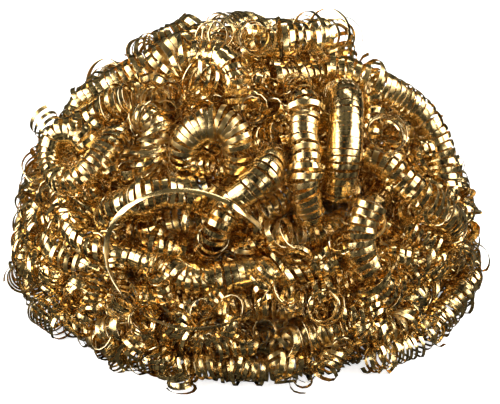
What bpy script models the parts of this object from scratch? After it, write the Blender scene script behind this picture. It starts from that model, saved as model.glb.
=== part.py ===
"""A ball of curled brass ribbon for wiping soldering iron tips, resting on its flat underside.

Every strand is a ribbon curled into a long springy coil. A coil is modelled as the closed sleeve
its turns fill, and a pulled-out length of ribbon as the strip itself. Strands are laid by rule,
the showing ones first and then layer by layer inwards, and settle until none is in another.
"""

import math

import bpy
import numpy as np

# Driving dimensions in millimetres; the meshes are made in metres.
BALL_RADIUS = 32.3
BALL_HEIGHT = 36.0
COIL_RADIUS = 1.9
COIL_GAP = 0.5
SLEEVE_SIDES = 8
STEP = 1.2  # between the places that a strand's route is made of
CLOSE_RINGS = 2  # places from one ring of a showing sleeve to the next
WIDE_RINGS = 3  # the same in the other sleeves
RIBBON_WIDTH = 0.8
RIBBON_DEPTH = 0.3

SPACING = 2 * COIL_RADIUS + COIL_GAP
TIGHTEST_STEPS = 4
TIGHTEST = 4.3  # the least straight distance over that many steps, which keeps bends wider than a sleeve
FLOOR = COIL_RADIUS * math.cos(math.pi / SLEEVE_SIDES)
RADII = {"upright_coil": 2.2, "open_end_coil": 2.25, "fan_coil": 2.1, "pigtail_coil": 1.75}
REACH = BALL_RADIUS - COIL_RADIUS
CREST = BALL_HEIGHT - COIL_RADIUS

# Showing strands that run over the ball: places as bearing from the front and slope down from the
# crown, in degrees, and the lift above the outer layer at the start, middle and end, in millimetres.
RUNS = {
    "upright_coil": (((60, 27), (45, 34), (35, 43), (32, 50)), (-1, 2.5, -1)),
    "shoulder_arch_coil": (((62, 24), (80, 38), (85, 50), (75, 65)), (0, 1.5, -1)),
    "side_coil": (((35, 22), (27, 32), (18, 42), (20, 54)), (0, 2.5, 0)),
    "diagonal_coil": (((10, 38), (5, 44), (-4, 51), (-10, 60)), (-1, 2.5, -1)),
    "open_end_coil": (((35, 54), (30, 63), (38, 75)), (2.5, 1.5, 0)),
    "knot_coil": (((50, 44), (55, 55), (70, 72)), (-1, 1.5, 0)),
    "crown_back_coil": (((20, 5), (90, 15), (135, 35)), (-1, 1.5, 0)),
    "lower_left_coil": (((-45, 60), (-30, 50), (-15, 45)), (-1, 1.5, -1)),
    "upper_left_coil": (((-50, 35), (-35, 35), (-30, 50)), (-1, 1.5, -1)),
}

# Showing strands that curl: the bearing and slope of the curl's centre and the angles it starts and
# ends at, in degrees clockwise from its right; its half width and half height, how much wider it
# ends than it starts as a fraction, and the lift at the start, middle and end, in millimetres.
CURLS = {
    "pigtail_coil": ((-61, 50), (-80, -430), (3.2, 3.1), 0.6, (1, 3, 0)),
    "fan_coil": ((-10, 42), (170, 370), (4.5, 5), 0, (-1, 3, -1)),
    "crown_loop_coil": ((-30, 22), (165, 375), (5.5, 5), 0, (-1, 2, -1)),
    "pulled_ribbon": ((-13, 62), (-30, -350), (10, 8), 0, (1, 5, 1)),
}

SHOWING = len(RUNS) + len(CURLS) - 1

# The layers laid to fill the ball: name, depth below the outer layer, longest strand and the most
# strands in the layer.
LAYERS = (
    ("outer_coil", 0, 160, 10),
    ("tucked_coil", 2.2, 70, 4),
    ("middle_coil", 4.4, 160, 9),
    ("inner_coil", 8.8, 150, 5),
    ("core_coil", 13.2, 150, 3),
)

# The rows round the foot: name, radius, rise, how far they wind in and out and up and down, and the
# bearings that their strands start at.
RIM_ROWS = (
    ("rim_coil", 29.7, 0, 0.5, 0, (-64, 56, 176)),
    ("upper_rim_coil", 29.9, 3.8, 0.8, 0.6, (-110, 10, 130)),
    ("waist_coil", 29.3, 7.7, 0.7, 1.0, (-30, 90, 210)),
)
RIM_WAVES = 15
RIM_BREAK = 9  # degrees left between strands of a row


def unit(vectors):
    """The vectors at length one."""
    return vectors / np.sqrt((vectors * vectors).sum(axis=-1, keepdims=True))


def on_ball(bearing, slope, lift):
    """The point at a bearing and slope in degrees, lifted above the outer layer."""
    turn, down = math.radians(bearing), math.radians(slope)
    out = (REACH + lift) * math.sin(down)
    return out * math.sin(turn), -out * math.cos(turn), max(FLOOR, (CREST + lift) * math.cos(down))


def lift_at(part, lifts):
    """The lift part of the way along, rising from the start's to the middle's and on to the end's."""
    ends = lifts[0] + (lifts[2] - lifts[0]) * part
    level = lifts[1] - 0.5 * (lifts[0] + lifts[2])
    return ends + level * (1 - (2 * part - 1) ** 4)


def run(places, lifts):
    """A strand over the ball through the places."""
    smooth = spaced([(bearing, slope, 0) for bearing, slope in places])  # smoothed as angles first
    parts = np.linspace(0, 1, len(smooth))
    return spaced([on_ball(place[0], place[1], lift_at(part, lifts)) for place, part in zip(smooth, parts)])


def curl(centre, angles, size, widening, lifts):
    """A strand on an oval about the centre, opening into a spiral as it widens."""
    points = []
    for part in np.linspace(0, 1, 24):
        angle = math.radians(angles[0] + (angles[1] - angles[0]) * part)
        wide = 1 + widening * part**3
        across = math.degrees(size[0] * wide * math.cos(angle) / (REACH * math.sin(math.radians(centre[1]))))
        down = math.degrees(size[1] * wide * math.sin(angle) / CREST)
        points.append(on_ball(centre[0] + across, centre[1] + down, lift_at(part, lifts)))
    return spaced(points)


def spaced(points):
    """The smooth curve through the points, as places one step apart."""
    points = np.array(points)
    ends = np.vstack((2 * points[0] - points[1], points, 2 * points[-1] - points[-2]))
    t = np.arange(0, 1, 0.05)[:, None]
    parts = []
    for before, start, end, after in zip(ends, ends[1:], ends[2:], ends[3:]):
        rise = (2 * before - 5 * start + 4 * end - after) * t**2
        turn = (3 * start - before - 3 * end + after) * t**3
        parts.append(0.5 * (2 * start + (end - before) * t + rise + turn))
    fine = np.vstack(parts + [points[-1:]])
    along = np.concatenate(([0], np.cumsum(np.sqrt((np.diff(fine, axis=0) ** 2).sum(axis=1)))))
    places = np.linspace(0, along[-1], max(3, round(along[-1] / STEP) + 1))
    return np.stack([np.interp(places, along, fine[:, axis]) for axis in range(3)], axis=1)


def room(places, laid):
    """The distance from each place to the nearest laid point."""
    if not len(laid):
        return np.full(len(places), 99.0)
    gaps = places[:, None, :] - laid[None, :, :]
    return np.sqrt((gaps * gaps).sum(axis=2).min(axis=1))


def on_layer(places, depth):
    """The places moved onto a layer: the flat underside for no depth, or a dome below the outer."""
    if depth is None:
        return places * np.array((1, 1, 0)) + np.array((0, 0, FLOOR))
    scale = np.array((REACH - depth, REACH - depth, CREST - depth))
    return places / np.sqrt(((places / scale) ** 2).sum(axis=-1, keepdims=True))


def layer_normal(place, depth):
    """The outward direction of a layer at a place."""
    if depth is None:
        return np.array((0.0, 0.0, 1.0))
    return unit(place / np.array((REACH - depth, REACH - depth, CREST - depth)) ** 2)


def inside_layer(places, depth):
    """Whether the places lie in the part of the layer that is filled."""
    if depth is None:
        return np.sqrt(places[:, 0] ** 2 + places[:, 1] ** 2) < REACH - SPACING * 1.08
    return places[:, 2] > FLOOR + SPACING * 0.84


def grow(start, heading, depth, laid, length, rng):
    """A strand laid on a layer from a start, wandering and hugging its neighbours while it has room."""
    stride = 2 * STEP
    turns = np.radians(np.arange(-27, 28, 4.5))[:, None]
    own, place, lean = [start], start, 0.0
    while len(own) * stride < length:
        up = layer_normal(place, depth)
        ahead = unit(heading - up * (heading * up).sum())
        side = np.cross(up, ahead)
        tries = on_layer(place + stride * (ahead * np.cos(turns) + side * np.sin(turns)), depth)
        free = np.minimum(room(tries, laid), room(tries, np.array(own[:-3])))
        lean = 0.75 * lean + 0.25 * rng.normal(0, 0.5)
        score = -1.3 * np.abs(turns[:, 0] - lean) - 0.25 * np.abs(np.minimum(free, 9) - SPACING)
        score -= 6 * np.maximum(0, SPACING * 0.95 - free)
        open_way = inside_layer(tries, depth) & (free > SPACING * 0.84)
        if not open_way.any():
            break
        best = int(np.where(open_way, score, -99).argmax())
        heading, place = tries[best] - place, tries[best]
        own.append(place)
    return np.array(own)


def fill_layer(strands, name, depth, longest, most, rng):
    """Strands laid over a layer, the longest first, until it holds the most it may."""
    counts = np.arange(700) + 0.5
    around, level = counts * 2.399963, counts / 700
    flat = np.sqrt(level if depth is None else 1 - level * level)
    seeds = np.stack((flat * np.cos(around), flat * np.sin(around), level), axis=1)
    seeds = on_layer(seeds * (REACH if depth is None else 1), depth)
    seeds = seeds[inside_layer(seeds, depth)]
    made = 0
    for shortest in (90, 60, 36, 22):
        for seed in rng.permutation(len(seeds)):
            laid = np.vstack(list(strands.values()))
            start = seeds[seed]
            if made == most or room(start[None], laid)[0] < SPACING * 0.9:
                continue
            turn = rng.uniform(0, 2 * math.pi)
            up = layer_normal(start, depth)
            across = unit(np.cross(up, (0.3, 0.5, 0.81)))
            heading = across * math.cos(turn) + np.cross(up, across) * math.sin(turn)
            first = grow(start, heading, depth, laid, longest * 0.6, rng)
            laid = np.vstack((laid, first[4:]))
            second = grow(start, -heading, depth, laid, longest - len(first) * 2 * STEP, rng)
            strand = np.vstack((second[:0:-1], first))
            if len(strand) * 2 * STEP >= shortest:
                made += 1
                strands[f"{name}_{made}"] = spaced(strand)


def lay_strands():
    """Every strand at its first place, with the ball drawn in a little at the front left."""
    rng = np.random.default_rng(5)
    strands = {name: run(*plan) for name, plan in RUNS.items()}
    strands |= {name: curl(*plan) for name, plan in CURLS.items() if name != "pulled_ribbon"}
    for name, radius, rise, wind, swell, breaks in RIM_ROWS:
        for index, (start, end) in enumerate(zip(breaks, breaks[1:] + (breaks[0] + 360,))):
            bearings = np.radians(np.linspace(start, end - RIM_BREAK, 50))
            out = radius + wind * np.sin(RIM_WAVES * bearings + rise)
            height = FLOOR + rise + swell * np.sin((RIM_WAVES - 4) * bearings + rise)
            row = np.stack((out * np.sin(bearings), -out * np.cos(bearings), height), axis=1)
            strands[f"{name}_{index + 1}"] = spaced(row)
    fill_layer(strands, "underside_coil", None, 150, 4, rng)
    for name, depth, longest, most in LAYERS:
        fill_layer(strands, name, depth, longest, most, rng)
    strands["pulled_ribbon"] = curl(*CURLS["pulled_ribbon"])
    for strand in strands.values():
        bearing = np.degrees(np.arctan2(strand[:, 0], -strand[:, 1]))
        draw = 0.11 * np.exp(-((bearing + 48) / 26) ** 2) * np.clip(1 - strand[:, 2] / 26, 0, 1)
        strand[:, :2] *= (1 - draw)[:, None]
    return strands


def gather(count, index, pushes):
    """The pushes summed for each point."""
    return np.stack([np.bincount(index, pushes[:, axis], count) for axis in range(3)], axis=1)


# How the strands settle: rounds, the part of them after which nothing is pulled any more, rounds
# between searches for close pairs, and the distance beyond touching that they are searched over.
SETTLE_ROUNDS = 400
LATE = 0.7
SEARCH_EVERY = 15
SEARCH_REACH = 1.6
APART_STEPS = 7  # places of one strand that are nearer along it than this may lie close
SHOWING_EASE = 0.2  # how readily a showing strand moves, where the others have 1
STRIP_EASE = 0.4
HEART = np.array((0, 0, 8.0))  # what the strands are drawn towards
DRAW = 0.003  # how far they are drawn each round
RETURN = 0.4  # the part of the way that a strand outside the ball goes back each round


def settle(strands):
    """The strands pushed apart until none is in another, keeping their lengths and the outline."""
    routes = list(strands.values())
    places = np.vstack(routes)
    count = len(places)
    owner = np.repeat(np.arange(len(routes)), [len(route) for route in routes])
    order = np.concatenate([np.arange(len(route)) for route in routes])
    names = list(strands)
    radii = [0.5 if name == "pulled_ribbon" else RADII.get(name, COIL_RADIUS) for name in names]
    girth = np.array(radii)[owner] + COIL_GAP / 2
    ease = np.where(owner < SHOWING, SHOWING_EASE, np.where(girth < 1, STRIP_EASE, 1.0))
    low = np.array([name.startswith(("underside", "rim")) for name in names])[owner]
    first = places.copy()
    links = np.flatnonzero(owner[1:] == owner[:-1])
    middles = np.flatnonzero(owner[2:] == owner[:-2]) + 1
    lengths = np.sqrt(((places[links + 1] - places[links]) ** 2).sum(axis=1))
    one, two = np.triu_indices(count, 1)
    apart = (owner[one] != owner[two]) | (np.abs(order[one] - order[two]) > APART_STEPS)
    one, two = one[apart], two[apart]
    curls = np.flatnonzero(owner[TIGHTEST_STEPS:] == owner[:-TIGHTEST_STEPS])
    for turn in range(SETTLE_ROUNDS):
        if turn % SEARCH_EVERY == 0:
            gaps = ((places[one] - places[two]) ** 2).sum(axis=1)
            close = gaps < (girth[one] + girth[two] + SEARCH_REACH) ** 2
            near, far = np.append(one[close], curls), np.append(two[close], curls + TIGHTEST_STEPS)
            least = np.append((girth[one] + girth[two])[close], np.full(len(curls), TIGHTEST))
        late = turn > SETTLE_ROUNDS * LATE
        if not late:
            places -= DRAW * unit(places - HEART) * (ease * ~low)[:, None]
        bend = 0.5 * (places[middles - 1] + places[middles + 1]) - places[middles]
        places[middles] += (0.04 if late else 0.12) * bend * ease[middles][:, None]
        away = places[near] - places[far]
        gap = np.sqrt((away * away).sum(axis=1))
        short = np.maximum(0, least - gap)
        hit = short > 0
        i, j = near[hit], far[hit]
        push = away[hit] * (short[hit] / gap[hit] / (ease[i] + ease[j]))[:, None]
        moves = gather(count, i, push * ease[i][:, None]) - gather(count, j, push * ease[j][:, None])
        touches = np.bincount(i, minlength=count) + np.bincount(j, minlength=count)
        places += moves / np.maximum(1, touches * 0.5)[:, None]
        for _ in range(2):
            link = places[links + 1] - places[links]
            span = np.sqrt((link * link).sum(axis=1))
            pull = link * (0.25 * (span - lengths) / span)[:, None]
            places[links] += pull * ease[links][:, None]
            places[links + 1] -= pull * ease[links + 1][:, None]
        places += (first - places) * np.where((ease < 1) & (not late), 0.02, 0)[:, None]
        size = np.sqrt((places[:, 0] ** 2 + places[:, 1] ** 2) / REACH**2 + places[:, 2] ** 2 / CREST**2)
        over = (size > 1) & (ease == 1)
        places[over] *= (1 - RETURN * (1 - 1 / size[over]))[:, None]
        places[:, 2] = np.where(low, FLOOR, np.maximum(places[:, 2], FLOOR))
    splits = np.cumsum([len(route) for route in routes])[:-1]
    return dict(zip(names, np.split(places, splits)))


def frames(path):
    """The two directions across a path at each point, carried along it without twist."""
    tangents = unit(np.gradient(path, axis=0))
    up = np.array((0.0, 0.0, 1.0))
    ups = []
    for tangent in tangents:
        up = unit(up - tangent * (up * tangent).sum())
        ups.append(up)
    return np.array(ups), np.cross(tangents, np.array(ups))


def sweep(name, path, profile, material):
    """A closed solid with the profile, a ring of (up, side) places, carried along the path."""
    ups, sides = frames(path)
    rings = path[:, None] + ups[:, None] * profile[:, :1] + sides[:, None] * profile[:, 1:]
    edge, last = len(profile), len(path) - 1
    faces = [tuple(range(edge))[::-1], tuple(last * edge + k for k in range(edge))]
    for ring in range(last):
        for k in range(edge):
            a, b = ring * edge + k, ring * edge + (k + 1) % edge
            faces.append((a, b, b + edge, a + edge))
    mesh = bpy.data.meshes.new(name)
    mesh.from_pydata((rings.reshape(-1, 3) / 1000).tolist(), [], faces)
    mesh.materials.append(material)
    solid = bpy.data.objects.new(name, mesh)
    bpy.context.scene.collection.objects.link(solid)
    return solid


def brass():
    """Bright brass."""
    material = bpy.data.materials.new("brass")
    material.use_nodes = True
    surface = material.node_tree.nodes["Principled BSDF"]
    surface.inputs["Base Color"].default_value = (0.78, 0.56, 0.22, 1)
    surface.inputs["Metallic"].default_value = 1.0
    surface.inputs["Roughness"].default_value = 0.22
    return material


for old in list(bpy.data.objects):
    bpy.data.objects.remove(old)

corners = (np.arange(SLEEVE_SIDES) + 0.5) * 2 * math.pi / SLEEVE_SIDES
sleeve = np.stack((np.cos(corners), np.sin(corners)), axis=1)
strip = 0.5 * np.array(((-RIBBON_DEPTH, -RIBBON_WIDTH), (RIBBON_DEPTH, -RIBBON_WIDTH),
                        (RIBBON_DEPTH, RIBBON_WIDTH), (-RIBBON_DEPTH, RIBBON_WIDTH)))
metal = brass()
solids = []
for strand_name, route in settle(lay_strands()).items():
    if strand_name == "pulled_ribbon":
        solids.append(sweep(strand_name, route, strip, metal))
        continue
    rings = CLOSE_RINGS if strand_name in RUNS or strand_name in CURLS else WIDE_RINGS
    kept = route[np.round(np.linspace(0, len(route) - 1, len(route) // rings + 1)).astype(int)]
    solids.append(sweep(strand_name, kept, RADII.get(strand_name, COIL_RADIUS) * sleeve, metal))

spots = np.concatenate([[vertex.co[:] for vertex in solid.data.vertices] for solid in solids])
middle = (spots.min(axis=0) + spots.max(axis=0)) / 2
shift = np.array((middle[0], middle[1], spots[:, 2].min()))
for solid in solids:
    for vertex in solid.data.vertices:
        vertex.co = [value - move for value, move in zip(vertex.co, shift)]
    solid.data.update()
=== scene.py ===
import math

import bpy
import numpy as np
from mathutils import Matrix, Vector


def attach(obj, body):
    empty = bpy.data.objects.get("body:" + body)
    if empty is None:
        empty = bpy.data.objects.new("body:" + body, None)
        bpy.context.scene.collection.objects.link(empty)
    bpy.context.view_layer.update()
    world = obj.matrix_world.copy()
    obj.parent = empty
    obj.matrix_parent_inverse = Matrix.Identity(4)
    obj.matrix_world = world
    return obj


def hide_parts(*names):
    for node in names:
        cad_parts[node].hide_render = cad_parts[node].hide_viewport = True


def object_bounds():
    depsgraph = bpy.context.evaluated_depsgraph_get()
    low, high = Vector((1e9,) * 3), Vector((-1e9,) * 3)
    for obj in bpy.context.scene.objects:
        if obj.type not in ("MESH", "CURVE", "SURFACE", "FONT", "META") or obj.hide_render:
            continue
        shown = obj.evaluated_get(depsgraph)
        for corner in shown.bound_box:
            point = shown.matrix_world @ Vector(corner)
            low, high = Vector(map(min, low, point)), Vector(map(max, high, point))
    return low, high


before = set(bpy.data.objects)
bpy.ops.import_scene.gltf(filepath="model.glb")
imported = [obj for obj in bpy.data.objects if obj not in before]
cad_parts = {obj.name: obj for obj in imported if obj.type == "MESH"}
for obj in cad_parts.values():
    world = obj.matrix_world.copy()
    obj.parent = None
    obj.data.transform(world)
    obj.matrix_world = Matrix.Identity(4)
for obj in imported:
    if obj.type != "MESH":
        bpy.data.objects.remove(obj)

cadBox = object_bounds()
mm = 0.001
# in millimetres: the coils' and the drawn-out ribbon's nodes, from their middle to their corners, and the
# step that a winding is worked out at
coilRadius = 1.9
stripRadius = math.hypot(0.4, 0.15)
windStep = 0.25
# in radians
fullTurn = 6.28
goldenAngle = 2.399963
# half the width, depth and height of the dome that the outer coils' middles lie on, in millimetres
ballSize = np.array([(cadBox[1][axis] - cadBox[0][axis]) / mm / 2 for axis in range(2)] + [cadBox[1][2] / mm])
ballSize -= coilRadius

# How the ribbon of a coil is wound; lengths in millimetres, angles in degrees.
coilPlan = {
    "sleeve": coilRadius,
    "radius": 0.98,       # the coil's radius as a part of its sleeve's
    "radiusSpread": 0.06,
    "oval": 0.07,
    "pitch": 0.98,
    "pitchSpread": 0.30,
    "ribbonWidth": 0.66,
    "ribbonDepth": 0.05,
    "crown": 0.02,        # how far the ribbon's middle stands above its edges
    "lean": 26,           # the most that turns lean over along the coil
    "roll": 22,           # how far the ribbon rolls about its own length
    "springEvery": 13,    # turns between those that have sprung out
    "springOut": 0.6,     # how far those stand out, as a part of the radius
    "samples": 26,        # points in each turn
    "windings": 1,        # ribbons wound into the one sleeve, each inside the one before
    "nested": 0.76,       # the radius of each as a part of the one before
    "flare": 0.16,        # how far the cut ends open out, as a part of the radius
}

# What differs from the coil plan, for the strands that it differs on.
looseFoot = {"pitch": 1.0, "lean": 50, "roll": 40, "springEvery": 7, "windings": 2, "ribbonWidth": 0.5}
buried = {"samples": 18}
strandPlans = {
    "upright": {"sleeve": 2.2, "pitch": 0.72, "pitchSpread": 0.05, "lean": 3, "roll": 4, "springEvery": 90,
                "radiusSpread": 0.015, "oval": 0.02},
    "side": {"pitch": 0.95, "pitchSpread": 0.25, "lean": 14, "roll": 14, "springEvery": 9},
    "shoulder": {"pitch": 0.95, "pitchSpread": 0.10, "lean": 8, "roll": 20, "springEvery": 30},
    "pigtail": {"sleeve": 1.75, "pitch": 0.86, "pitchSpread": 0.10, "lean": 4, "roll": 7, "springEvery": 70,
                "ribbonWidth": 0.6},
    "fan": {"sleeve": 2.1, "pitch": 0.95, "lean": 6, "roll": 14, "ribbonWidth": 0.55},
    "diagonal": {"pitch": 0.80, "pitchSpread": 0.14, "lean": 6, "roll": 8},
    "open": {"sleeve": 2.25, "pitch": 1.0, "lean": 12},
    "crown": {"pitch": 1.15, "springOut": 0.9, "springEvery": 6},
    "rim": looseFoot,
    "upper": looseFoot,
    "waist": {**looseFoot, "windings": 1},
    "underside": {**looseFoot, **buried, "windings": 1},
    "middle": buried,
    "inner": buried,
    "core": buried,
}

pulledPlan = {
    "ribbonWidth": 0.62,
    "ribbonDepth": 0.08,
    "crown": 0.05,
    "faces": (0.1, -0.35, 0.93),    # the way its flat looks along its highest run
    "turnOver": 75,       # degrees that it has turned on edge at its lowest point
    "step": 0.35,
}


def unit(vectors):
    # each vector over its own length
    return vectors / np.sqrt((vectors * vectors).sum(axis=-1, keepdims=True))


def smoothPath(points, step):
    # Catmull-Rom through the points, then read off at equal lengths
    ends = np.vstack((2 * points[0] - points[1], points, 2 * points[-1] - points[-2]))
    a, b, c, d = (ends[k:len(ends) - 3 + k, None] for k in range(4))
    t = np.linspace(0, 1, 12, endpoint=False)[None, :, None]
    square, cube = 2 * a - 5 * b + 4 * c - d, 3 * b - a - 3 * c + d
    fine = 0.5 * (2 * b + (c - a) * t + square * t**2 + cube * t**3)
    fine = np.vstack((fine.reshape(-1, 3), points[-1:]))
    along = np.concatenate(([0], np.cumsum(np.sqrt((np.diff(fine, axis=0) ** 2).sum(axis=1)))))
    places = np.linspace(0, along[-1], int(along[-1] / step) + 2)
    return np.stack([np.interp(places, along, fine[:, k]) for k in range(3)], axis=1), places


def centreLine(nodeName, corners, radius):
    # the middle of each ring of a sleeve, found by walking its mesh from one end cap to the other
    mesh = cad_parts[nodeName].data
    mesh.calc_loop_triangles()
    flat = np.empty(len(mesh.vertices) * 3)
    mesh.vertices.foreach_get("co", flat)
    corner = np.empty(len(mesh.loop_triangles) * 3, np.int64)
    mesh.loop_triangles.foreach_get("vertices", corner)
    spots, merged = np.unique(np.round(flat.reshape(-1, 3) / mm, 4), axis=0, return_inverse=True)
    triangles = merged.ravel()[corner].reshape(-1, 3)
    links = np.vstack((triangles[:, [0, 1]], triangles[:, [1, 2]], triangles[:, [2, 0]]))
    links = np.vstack((links, links[:, ::-1]))
    one, two, three = (spots[triangles[:, k]] for k in range(3))
    normals = unit(np.cross(two - one, three - one))
    # an end cap is the triangle whose plane holds exactly one ring of corners, all within 3% of the radius
    away = spots[None] - one[:, None]
    level = np.abs((away * normals[:, None]).sum(axis=2)) < 0.01
    level &= np.sqrt((away**2).sum(axis=2)) < 2.04 * radius
    centres = (level[:, :, None] * spots[None]).sum(axis=1) / level.sum(axis=1)[:, None]
    reach = np.sqrt(((spots[None] - centres[:, None]) ** 2).sum(axis=2))
    atRadius = (np.abs(reach - radius) < 0.03 * radius) | ~level
    isCap = (level.sum(axis=1) == corners) & atRadius.all(axis=1)
    ring = np.flatnonzero(level[np.flatnonzero(isCap)[0]])
    seen = np.zeros(len(spots), bool)
    middles = []
    while len(ring):
        middles.append(spots[ring].mean(axis=0))
        seen[ring] = True
        after = np.unique(links[np.isin(links[:, 0], ring), 1])
        ring = after[~seen[after]]
    return np.array(middles)


def carriedFrame(path):
    # two directions across the path, turned as little as possible from each point to the next
    tangents = unit(np.gradient(path, axis=0))
    side = np.array((0.0, 0.0, 1.0)) if abs(tangents[0, 2]) < 0.9 else np.array((0.0, 1.0, 0.0))
    sides = []
    for tangent in tangents:
        side = unit(side - tangent * (side * tangent).sum())
        sides.append(side)
    return tangents, np.array(sides), np.cross(tangents, np.array(sides))


def wander(rng, at, reach):
    # a smooth random value from -1 to 1, changing over each reach
    knots = rng.uniform(-1, 1, int(at[-1] / reach) + 3)
    part = at / reach
    low = part.astype(int)
    blend = part - low
    blend = blend * blend * (3 - 2 * blend)
    return knots[low] * (1 - blend) + knots[low + 1] * blend


def strip(places, widths, faces, depth, crown):
    # corners carried along the places: at each, two edges and a raised middle, under and over
    half, bow = faces * depth / 2, faces * crown
    corners = np.stack((places - widths - half, places + bow - half, places + widths - half,
                        places + widths + half, places + bow + half, places - widths + half), axis=1)
    corners[:, :, 2] = np.maximum(corners[:, :, 2], 0.01)
    base = 6 * np.arange(len(places) - 1)[:, None]
    k = np.arange(6)[None, :]
    after = (k + 1) % 6
    quads = np.stack((base + k, base + after, base + 6 + after, base + 6 + k), axis=-1).reshape(-1, 4)
    start = np.array(((5, 4, 1, 0), (4, 3, 2, 1)))
    quads = np.vstack((quads, start, 6 * len(places) - 6 + start[:, ::-1]))
    # the ribbon's own map: length in centimetres along, 0 to 1 across
    travelled = np.concatenate(([0], np.cumsum(np.sqrt((np.diff(places, axis=0) ** 2).sum(axis=1)))))
    across = np.tile((0, 0.5, 1, 1, 0.5, 0), len(places))
    return corners.reshape(-1, 3), quads, np.stack((np.repeat(travelled / 10, 6), across), axis=1)


def ribbonPiece(name, strips, material):
    # one mesh of all the strips
    starts = np.cumsum([0] + [len(corners) for corners, quads, spots in strips])
    corners = np.vstack([part[0] for part in strips])
    quads = np.vstack([part[1] + start for part, start in zip(strips, starts)])
    spots = np.vstack([part[2] for part in strips])
    mesh = bpy.data.meshes.new(name)
    mesh.from_pydata((corners * mm).tolist(), [], quads.tolist())
    loops = np.empty(len(mesh.loops), np.int64)
    mesh.loops.foreach_get("vertex_index", loops)
    uvs = mesh.uv_layers.new(name="ribbon")
    uvs.data.foreach_set("uv", spots[loops].ravel())
    mesh.polygons.foreach_set("use_smooth", np.ones(len(mesh.polygons), bool))
    mesh.set_sharp_from_angle(angle=math.radians(50))
    mesh.materials.append(material)
    piece = bpy.data.objects.new(name, mesh)
    bpy.context.scene.collection.objects.link(piece)
    return piece


def woundStrip(points, plan, rng):
    # a ribbon wound round a centre line: centre + radius * (side cos + up sin); each wander takes the
    # length, or the number of turns, over which it changes
    path, length = smoothPath(points, windStep)
    tangents, sides, ups = carriedFrame(path)
    spread = plan["pitchSpread"] * wander(rng, length, 5.0)
    pitch = plan["pitch"] * (1 + spread + 0.12 * wander(rng, length, 1.7))
    turned = np.concatenate(([0], np.cumsum(windStep / pitch[:-1])))
    turns = np.arange(0, turned[-1], 1 / plan["samples"])
    at = np.interp(turns, turned, length)

    def along(values):
        return np.stack([np.interp(at, length, values[:, k]) for k in range(3)], axis=1)

    centre, ahead, side, up = along(path), unit(along(tangents)), along(sides), along(ups)
    angle = 2 * math.pi * turns + rng.uniform(0, fullTurn)
    spread = plan["radiusSpread"] * wander(rng, turns, 0.8)
    radius = plan["sleeve"] * plan["radius"] * (1 + spread + 0.03 * wander(rng, turns, 5))
    radius *= 1 + plan["oval"] * np.cos(2 * angle + 3 * wander(rng, turns, 9))
    # some turns have sprung out of the coil
    every = plan["springEvery"]
    for spring in np.arange(rng.uniform(2, every), turns[-1], every * rng.uniform(0.7, 1.2)):
        bump = np.exp(-((turns - spring) / 0.55) ** 2)
        radius *= 1 + plan["springOut"] * rng.uniform(0.3, 1) * bump
    # the cut ends open out
    radius *= 1 + plan["flare"] * (np.exp(-turns / 0.5) + np.exp(-(turns[-1] - turns) / 0.5))
    outward = side * np.cos(angle)[:, None] + up * np.sin(angle)[:, None]
    lean = np.radians(plan["lean"]) * wander(rng, turns, 6)
    leanWay = 3 * wander(rng, turns, 12)
    slide = radius * np.tan(lean) * np.cos(angle - leanWay) + 0.10 * wander(rng, turns, 0.6)
    places = centre + outward * radius[:, None] + ahead * slide[:, None]
    run = unit(np.gradient(places, axis=0))
    face = unit(outward - run * (outward * run).sum(axis=1)[:, None])
    edge = np.cross(run, face)
    roll = np.radians(plan["roll"]) * (wander(rng, turns, 0.45) + 0.7 * wander(rng, turns, 3))
    face, edge = (face * np.cos(roll)[:, None] + edge * np.sin(roll)[:, None],
                  edge * np.cos(roll)[:, None] - face * np.sin(roll)[:, None])
    wide = plan["ribbonWidth"] * (1 + 0.10 * wander(rng, turns, 3)) / 2
    return strip(places, edge * wide[:, None], face, plan["ribbonDepth"], plan["crown"])


def pulledStrip(nodeName):
    # the drawn-out ribbon: it lies flat along its highest run and turns on edge as it drops
    path, length = smoothPath(centreLine(nodeName, 4, stripRadius), pulledPlan["step"])
    tangents = unit(np.gradient(path, axis=0))
    flat = np.array(pulledPlan["faces"])
    flat = unit(flat - tangents * (tangents @ flat)[:, None])
    across = np.cross(tangents, flat)
    drop = (path[:, 2].max() - path[:, 2]) / np.ptp(path[:, 2])
    twist = (math.radians(pulledPlan["turnOver"]) * drop + 0.15 * np.sin(length / 6))[:, None]
    edge = across * np.cos(twist) + flat * np.sin(twist)
    face = flat * np.cos(twist) - across * np.sin(twist)
    halfWidths = edge * pulledPlan["ribbonWidth"] / 2
    return strip(path, halfWidths, face, pulledPlan["ribbonDepth"], pulledPlan["crown"])


def onBall(bearing, slope, lift):
    # the place at a bearing and slope in degrees, lifted off the dome of the outer coils' middles
    turn, drop = math.radians(bearing), math.radians(slope)
    out = np.array((math.sin(drop) * math.sin(turn), -math.sin(drop) * math.cos(turn), math.cos(drop)))
    return out * (ballSize + lift)


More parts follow.
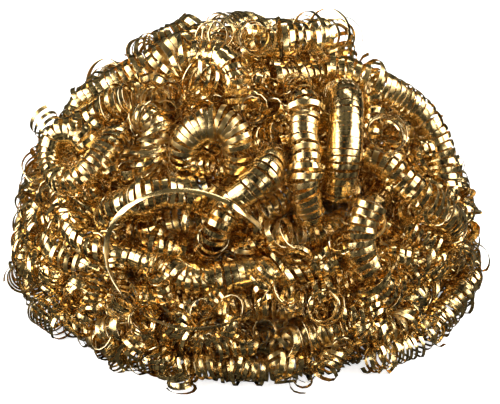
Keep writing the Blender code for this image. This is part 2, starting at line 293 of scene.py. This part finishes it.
# Coil ends and single turns that show at the surface: the bearing and slope they are at in degrees, how
# far their middle stands out, their radius, turns and pitch, and the bearing and rise that they face.
endPlans = {
    "right": {"at": (57, 43), "lift": 1.6, "radius": 2.4, "turns": 6, "pitch": 0.9, "faces": (8, 33)},
    "lower": {"at": (36, 57), "lift": 1.5, "radius": 2.3, "turns": 5, "pitch": 0.75, "faces": (0, 24)},
    "crown": {"at": (-24, 21), "lift": 0.5, "radius": 2.5, "turns": 6, "pitch": 1.35, "faces": (-62, 30)},
    "flat": {"at": (-42, 29), "lift": 1.4, "radius": 1.9, "turns": 1.6, "pitch": 0.3, "faces": (-20, 60)},
    "top": {"at": (10, 6), "lift": 1.8, "radius": 1.9, "turns": 4, "pitch": 1.5, "faces": (20, 10)},
    "topLeft": {"at": (-60, 8), "lift": 1.7, "radius": 1.8, "turns": 3, "pitch": 1.7, "faces": (-30, 15)},
    "leftHigh": {"at": (-88, 55), "lift": 1.9, "radius": 1.8, "turns": 6, "pitch": 1.0, "faces": (-150, 20)},
    "leftLow": {"at": (-82, 62), "lift": 1.6, "radius": 1.8, "turns": 6, "pitch": 1.0, "faces": (-10, 50)},
    "leftFoot": {"at": (-78, 84), "lift": 0.6, "radius": 2.0, "turns": 7, "pitch": 0.9, "faces": (-10, 10)},
    "leftFront": {"at": (-60, 88), "lift": 0, "radius": 1.9, "turns": 8, "pitch": 0.9, "faces": (30, 4)},
    "rightFront": {"at": (40, 89), "lift": 0, "radius": 1.8, "turns": 7, "pitch": 1.1, "faces": (-46, 8)},
    "rightFoot": {"at": (55, 88), "lift": -0.2, "radius": 1.8, "turns": 7, "pitch": 1.1, "faces": (-30, -4)},
}
endWinding = {"radius": 1, "radiusSpread": 0.04, "oval": 0.04, "lean": 16, "roll": 16, "springEvery": 90,
              "ribbonWidth": 0.5, "samples": 30}


def endLine(at, lift, radius, turns, pitch, faces):
    # the centre line of a short straight coil, its middle on the ball, that faces a bearing and a rise
    middle = onBall(*at, lift)
    middle[2] = max(middle[2], radius)
    turn, rise = math.radians(faces[0]), math.radians(faces[1])
    toward = np.array((math.cos(rise) * math.sin(turn), -math.cos(rise) * math.cos(turn), math.sin(rise)))
    return middle + toward * turns * pitch * np.linspace(-0.5, 0.5, 5)[:, None]


# Short curls: how many places are tried, how deep below the outer coils' middles they lie, how far from any
# coil's centre line and from each other, their turns, pitches, radii, ribbon widths and roll, the heights
# they lie between as parts of the ball's, and the most that are made.
gapPlan = {"tries": 5200, "depths": (0.2, 4.6), "clear": 2.35, "apart": 1.9, "turns": (1.4, 3.6),
           "pitches": (0.8, 1.7), "radii": (1.15, 1.75), "widths": (0.45, 0.7), "roll": 22,
           "levels": (0, 1), "most": 230}
footPlan = {"tries": 1500, "depths": (-0.5, 0.5), "clear": 0, "apart": 2.6, "turns": (3, 5.5),
            "pitches": (0.7, 1.1), "radii": (1.2, 1.75), "widths": (0.38, 0.56), "roll": 45,
            "levels": (0, 0.5), "most": 150}


def shortCurls(plan, taken, rng):
    # of many places spread evenly over the ball, the ones between the two levels that stand clear of every
    # coil's centre line and of the curls already there; each gets a short straight curl lying any way
    steps = np.arange(plan["tries"]) + 0.5
    low, high = plan["levels"]
    around, level = steps * goldenAngle, high - (high - low) * steps / plan["tries"]
    flat = np.sqrt(1 - level * level)
    out = np.stack((flat * np.cos(around), flat * np.sin(around), level), axis=1)
    places = out * (ballSize - rng.uniform(*plan["depths"], plan["tries"])[:, None])
    places[:, 2] = np.maximum(places[:, 2], 1.5)
    nearest = np.concatenate([np.sqrt(((part[:, None] - taken[None]) ** 2).sum(axis=2)).min(axis=1)
                              for part in np.array_split(places, 20)])
    strips, kept = [], np.full((1, 3), 99.0)
    for k in rng.permutation(np.flatnonzero(nearest > plan["clear"])):
        gap = np.sqrt(((kept - places[k]) ** 2).sum(axis=1)).min()
        if gap < plan["apart"] or len(strips) == plan["most"]:
            continue
        kept = np.vstack((kept, places[k]))
        toward = unit(rng.normal(0, 1, 3) + 0.8 * np.cross(out[k], (0, 0, 1)))
        pitch = rng.uniform(*plan["pitches"])
        reach = pitch * rng.uniform(*plan["turns"]) * np.linspace(-0.5, 0.5, 4)[:, None]
        winding = {**coilPlan, "sleeve": rng.uniform(*plan["radii"]), "radius": 1, "pitch": pitch,
                   "lean": 20, "roll": plan["roll"], "ribbonWidth": rng.uniform(*plan["widths"]),
                   "springEvery": 90, "samples": 13}
        strips.append(woundStrip(places[k] + toward * reach, winding, rng))
    return strips


def addSocket(group, name, way, kind, value=None):
    socket = group.interface.new_socket(name=name, in_out=way, socket_type=kind)
    if value is not None:
        socket.default_value = value


def wire(tree, kind, values=None, **links):
    # a node with its plain values set and its inputs linked by name
    node = tree.nodes.new(kind)
    for key, value in (values or {}).items():
        if key in node.inputs:
            node.inputs[key].default_value = value
        else:
            setattr(node, key, value)
    for key, source in links.items():
        tree.links.new(source, node.inputs[key.replace("_", " ")])
    return node


def drawnLinesGroup():
    # fine lines along the ribbon: noise pulled long along it and squeezed across
    group = bpy.data.node_groups.new("drawnLines", "ShaderNodeTree")
    addSocket(group, "Ribbon", "INPUT", "NodeSocketVector")
    addSocket(group, "Fineness", "INPUT", "NodeSocketFloat", 26.0)
    addSocket(group, "Height", "OUTPUT", "NodeSocketFloat")
    start = group.nodes.new("NodeGroupInput")
    end = group.nodes.new("NodeGroupOutput")
    stretch = wire(group, "ShaderNodeVectorMath", {"operation": "MULTIPLY"})
    stretch.inputs[1].default_value = (3.0, 1.0, 1.0)
    group.links.new(start.outputs["Ribbon"], stretch.inputs[0])
    noise = wire(group, "ShaderNodeTexNoise", {"Detail": 3.0, "Roughness": 0.6},
                 Vector=stretch.outputs[0], Scale=start.outputs["Fineness"])
    group.links.new(noise.outputs["Fac"], end.inputs["Height"])
    return group


def edgeWearGroup():
    # 1 along the ribbon's two cut edges, broken up by noise, and 0 over its middle
    group = bpy.data.node_groups.new("edgeWear", "ShaderNodeTree")
    addSocket(group, "Ribbon", "INPUT", "NodeSocketVector")
    addSocket(group, "Object", "INPUT", "NodeSocketVector")
    addSocket(group, "Width", "INPUT", "NodeSocketFloat", 0.16)
    addSocket(group, "Mask", "OUTPUT", "NodeSocketFloat")
    start = group.nodes.new("NodeGroupInput")
    end = group.nodes.new("NodeGroupOutput")
    parts = wire(group, "ShaderNodeSeparateXYZ", Vector=start.outputs["Ribbon"])
    middle = wire(group, "ShaderNodeMath", {"operation": "SUBTRACT"})
    group.links.new(parts.outputs["Y"], middle.inputs[0])
    middle.inputs[1].default_value = 0.5
    away = wire(group, "ShaderNodeMath", {"operation": "ABSOLUTE"})
    group.links.new(middle.outputs[0], away.inputs[0])
    inner = wire(group, "ShaderNodeMath", {"operation": "SUBTRACT"})
    inner.inputs[0].default_value = 0.5
    group.links.new(start.outputs["Width"], inner.inputs[1])
    edge = wire(group, "ShaderNodeMapRange", {"interpolation_type": "SMOOTHSTEP", "From Max": 0.5},
                Value=away.outputs[0])
    group.links.new(inner.outputs[0], edge.inputs["From Min"])
    broken = wire(group, "ShaderNodeTexNoise", {"Scale": 900.0, "Detail": 2.0},
                  Vector=start.outputs["Object"])
    mixed = wire(group, "ShaderNodeMath", {"operation": "MULTIPLY"})
    group.links.new(edge.outputs["Result"], mixed.inputs[0])
    group.links.new(broken.outputs["Fac"], mixed.inputs[1])
    group.links.new(mixed.outputs[0], end.inputs["Mask"])
    return group


def tarnishAndPaintedShadeGroup():
    # 0 where bright and 1 where dulled in soft patches of tarnish, and painted shade: how far below the outer
    # coils a place is sunk, to darken the brass there as if shaded
    group = bpy.data.node_groups.new("tarnishAndPaintedShade", "ShaderNodeTree")
    addSocket(group, "Object", "INPUT", "NodeSocketVector")
    addSocket(group, "Patch Scale", "INPUT", "NodeSocketFloat", 130.0)
    addSocket(group, "Mask", "OUTPUT", "NodeSocketFloat")
    addSocket(group, "SunkPaintedShade", "OUTPUT", "NodeSocketFloat")
    start = group.nodes.new("NodeGroupInput")
    end = group.nodes.new("NodeGroupOutput")
    broad = wire(group, "ShaderNodeTexNoise", {"Detail": 4.0, "Roughness": 0.62},
                 Vector=start.outputs["Object"], Scale=start.outputs["Patch Scale"])
    patchEdges = {"interpolation_type": "SMOOTHSTEP", "From Min": 0.42, "From Max": 0.72}
    ramp = wire(group, "ShaderNodeMapRange", patchEdges, Value=broad.outputs["Fac"])
    # painted shade: 1 deep inside the ball and 0 at the outer coils, so places sunk between the coils are
    # coloured darker as if in shadow
    scaled = wire(group, "ShaderNodeVectorMath", {"operation": "DIVIDE"})
    group.links.new(start.outputs["Object"], scaled.inputs[0])
    scaled.inputs[1].default_value = (ballSize + coilRadius) * mm
    outness = wire(group, "ShaderNodeVectorMath", {"operation": "LENGTH"})
    group.links.new(scaled.outputs[0], outness.inputs[0])
    paintedShadeEdges = {"interpolation_type": "SMOOTHSTEP", "From Min": 0.96, "From Max": 0.84}
    sunkPaintedShade = wire(group, "ShaderNodeMapRange", paintedShadeEdges, Value=outness.outputs["Value"])
    group.links.new(ramp.outputs["Result"], end.inputs["Mask"])
    group.links.new(sunkPaintedShade.outputs["Result"], end.inputs["SunkPaintedShade"])
    return group


brassFinish = {
    "bright": (0.84, 0.61, 0.27, 1),
    "dulled": (0.60, 0.40, 0.15, 1),
    # painted shade: the darker brass colour given to places sunk deep in the ball
    "sunkPaintedShade": (0.60, 0.37, 0.12, 1),
    "edge": (0.95, 0.83, 0.54, 1),
    "smooth": 0.14,
    "rough": 0.34,
    "lineBump": 0.25,
}


def brassMaterial(name, finish, groups):
    # bright drawn brass: tarnish tints it, painted shade darkens it deep in the ball, cut edges are paler,
    # drawn lines roughen it
    material = bpy.data.materials.new(name)
    material.use_nodes = True
    tree = material.node_tree
    surface = tree.nodes["Principled BSDF"]
    surface.inputs["Metallic"].default_value = 1.0
    where = tree.nodes.new("ShaderNodeTexCoord")
    ribbon = wire(tree, "ShaderNodeUVMap", {"uv_map": "ribbon"})
    lines, wear, tarnishAndShadeNode = (tree.nodes.new("ShaderNodeGroup") for _ in range(3))
    lines.node_tree, wear.node_tree, tarnishAndShadeNode.node_tree = groups
    tree.links.new(ribbon.outputs["UV"], lines.inputs["Ribbon"])
    tree.links.new(ribbon.outputs["UV"], wear.inputs["Ribbon"])
    tree.links.new(where.outputs["Object"], wear.inputs["Object"])
    tree.links.new(where.outputs["Object"], tarnishAndShadeNode.inputs["Object"])
    tint = wire(tree, "ShaderNodeMix", {"data_type": "RGBA"})
    tint.inputs[6].default_value = finish["bright"]
    tint.inputs[7].default_value = finish["dulled"]
    tree.links.new(tarnishAndShadeNode.outputs["Mask"], tint.inputs[0])
    # painted shade: the colour turns darker towards the sunk colour deeper in the ball
    paintedShadeMix = wire(tree, "ShaderNodeMix", {"data_type": "RGBA"})
    paintedShadeMix.inputs[7].default_value = finish["sunkPaintedShade"]
    tree.links.new(tint.outputs[2], paintedShadeMix.inputs[6])
    tree.links.new(tarnishAndShadeNode.outputs["SunkPaintedShade"], paintedShadeMix.inputs[0])
    edged = wire(tree, "ShaderNodeMix", {"data_type": "RGBA"})
    edged.inputs[7].default_value = finish["edge"]
    tree.links.new(paintedShadeMix.outputs[2], edged.inputs[6])
    tree.links.new(wear.outputs["Mask"], edged.inputs[0])
    tree.links.new(edged.outputs[2], surface.inputs["Base Color"])
    rough = wire(tree, "ShaderNodeMapRange", {"To Min": finish["smooth"], "To Max": finish["rough"]},
                 Value=tarnishAndShadeNode.outputs["Mask"])
    tree.links.new(rough.outputs["Result"], surface.inputs["Roughness"])
    bump = wire(tree, "ShaderNodeBump", {"Strength": finish["lineBump"], "Distance": 0.00002},
                Height=lines.outputs["Height"])
    tree.links.new(bump.outputs["Normal"], surface.inputs["Normal"])
    return material


groups = (drawnLinesGroup(), edgeWearGroup(), tarnishAndPaintedShadeGroup())
brass = brassMaterial("brassRibbon", brassFinish, groups)

pieces, centres = [], []
for number, nodeName in enumerate(sorted(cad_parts)):
    rng = np.random.default_rng(100 + number)
    if nodeName == "pulled_ribbon":
        strips = [pulledStrip(nodeName)]
    else:
        plan = {**coilPlan, **strandPlans.get(nodeName.split("_")[0], {})}
        points = centreLine(nodeName, 8, plan["sleeve"])
        centres.append(smoothPath(points, 1.0)[0])
        strips = [woundStrip(points, {**plan, "radius": plan["radius"] * plan["nested"]**winding}, rng)
                  for winding in range(plan["windings"])]
    piece = ribbonPiece(f"{nodeName}_ribbon", strips, brass)
    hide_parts(nodeName)
    pieces.append(piece)
print("coils wound:", len(pieces))

rng = np.random.default_rng(7)
endStrips = []
for end in endPlans.values():
    line = endLine(**end)
    centres.append(line)
    plan = {**coilPlan, **endWinding, "sleeve": end["radius"], "pitch": end["pitch"]}
    endStrips.append(woundStrip(line, plan, rng))
pieces.append(ribbonPiece("coil_ends", endStrips, brass))
taken = np.vstack(centres)
curls = shortCurls(gapPlan, taken, rng)
pieces.append(ribbonPiece("gap_curls", curls, brass))
footCurls = shortCurls(footPlan, taken, rng)
pieces.append(ribbonPiece("foot_curls", footCurls, brass))
for piece in pieces:
    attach(piece, "root")
triangles = 2 * sum(len(piece.data.polygons) for piece in pieces)
print("short curls:", len(curls), len(footCurls), "triangles:", triangles)

# floor
floorPlan = {"half": 1.5, "colour": (0.93, 0.93, 0.93, 1), "glow": 0.75, "shadeFrom": 0.027, "shadeIn": 0.022}
floorMaterial = bpy.data.materials.new("paleFloor")
floorMaterial.use_nodes = True
floorSurface = floorMaterial.node_tree.nodes["Principled BSDF"]
floorSurface.inputs["Base Color"].default_value = floorPlan["colour"]
floorSurface.inputs["Roughness"].default_value = 0.9
floorSurface.inputs["Emission Color"].default_value = (1, 1, 1, 1)
# painted shadow: the floor doesn't glow under the ball, so that it stays dark between the coils
floorTree = floorMaterial.node_tree
floorWhere = floorTree.nodes.new("ShaderNodeTexCoord")
fromMiddle = wire(floorTree, "ShaderNodeVectorMath", {"operation": "LENGTH"})
floorTree.links.new(floorWhere.outputs["Object"], fromMiddle.inputs[0])
paintedShadowEdges = {"From Min": floorPlan["shadeIn"], "From Max": floorPlan["shadeFrom"],
             "To Max": floorPlan["glow"]}
glow = wire(floorTree, "ShaderNodeMapRange", paintedShadowEdges, Value=fromMiddle.outputs["Value"])
floorTree.links.new(glow.outputs["Result"], floorSurface.inputs["Emission Strength"])
half = floorPlan["half"]
floorMesh = bpy.data.meshes.new("floor")
floorCorners = [(-half, -half, 0), (half, -half, 0), (half, half, 0), (-half, half, 0)]
floorMesh.from_pydata(floorCorners, [], [(0, 1, 2, 3)])
floorMesh.materials.append(floorMaterial)
floor = bpy.data.objects.new("floor", floorMesh)
bpy.context.scene.collection.objects.link(floor)
floor.visible_glossy = False     # the brass mirrors the dark room and not the floor

# lights: place, width, height, strength, colour; two tall soft boxes with mostly dark between them
lightPlan = {
    "leftBox": ((-0.50, -0.12, 0.28), 0.44, 0.44, 4.5, (1.0, 0.98, 0.94)),
    "rightBox": ((0.50, -0.04, 0.28), 0.40, 0.44, 3.8, (1.0, 0.98, 0.95)),
    "frontLeftBox": ((-0.285, -0.365, 0.19), 0.16, 0.20, 0.4, (1.0, 0.98, 0.95)),
    "frontRightBox": ((0.31, -0.345, 0.19), 0.16, 0.20, 0.4, (1.0, 0.98, 0.95)),
    "backStrip": ((0.08, 0.20, 0.55), 0.34, 0.06, 0.7, (0.97, 1.0, 0.99)),
}
for name, (place, width, height, strength, colour) in lightPlan.items():
    data = bpy.data.lights.new(name, "AREA")
    data.shape = "RECTANGLE"
    data.size = width
    data.size_y = height
    data.energy = strength
    data.color = colour
    light = bpy.data.objects.new(name, data)
    light.location = place
    toward = -light.location
    toward.z += 0.015
    light.rotation_euler = toward.to_track_quat("-Z", "Y").to_euler()
    bpy.context.scene.collection.objects.link(light)
world = bpy.data.worlds.new("studio")
world.use_nodes = True
roomPlan = {"dark": (0.008, 0.009, 0.007, 1), "pale": (0.28, 0.27, 0.22, 1), "patches": 3.4}
roomTree = world.node_tree
direction = roomTree.nodes.new("ShaderNodeTexCoord")
patches = wire(roomTree, "ShaderNodeTexNoise", {"Scale": roomPlan["patches"], "Detail": 1.0},
               Vector=direction.outputs["Generated"])
spread = wire(roomTree, "ShaderNodeMapRange", {"From Min": 0.46, "From Max": 0.74},
              Value=patches.outputs["Fac"])
room = wire(roomTree, "ShaderNodeMix", {"data_type": "RGBA"})
room.inputs[6].default_value = roomPlan["dark"]
room.inputs[7].default_value = roomPlan["pale"]
roomTree.links.new(spread.outputs["Result"], room.inputs[0])
roomTree.links.new(room.outputs[2], roomTree.nodes["Background"].inputs["Color"])
bpy.context.scene.world = world
bpy.context.scene.view_settings.view_transform = "Standard"

# camera: looks along +Y, down at the ball
cameraPlan = {"away": 0.45, "aside": 0.0004, "down": 28.0, "aimHeight": 0.0106, "frameWidth": 0.0660}
down = math.radians(cameraPlan["down"])
cameraData = bpy.data.cameras.new("camera")
cameraData.sensor_width = 36
cameraData.lens = 36 * cameraPlan["away"] / cameraPlan["frameWidth"]
cameraData.clip_start = 0.01
camera = bpy.data.objects.new("camera", cameraData)
camera.location = (cameraPlan["aside"], -cameraPlan["away"] * math.cos(down),
                   cameraPlan["aimHeight"] + cameraPlan["away"] * math.sin(down))
camera.rotation_euler = (math.pi / 2 - down, 0, 0)
bpy.context.scene.collection.objects.link(camera)
bpy.context.scene.camera = camera
print("lights and camera placed")
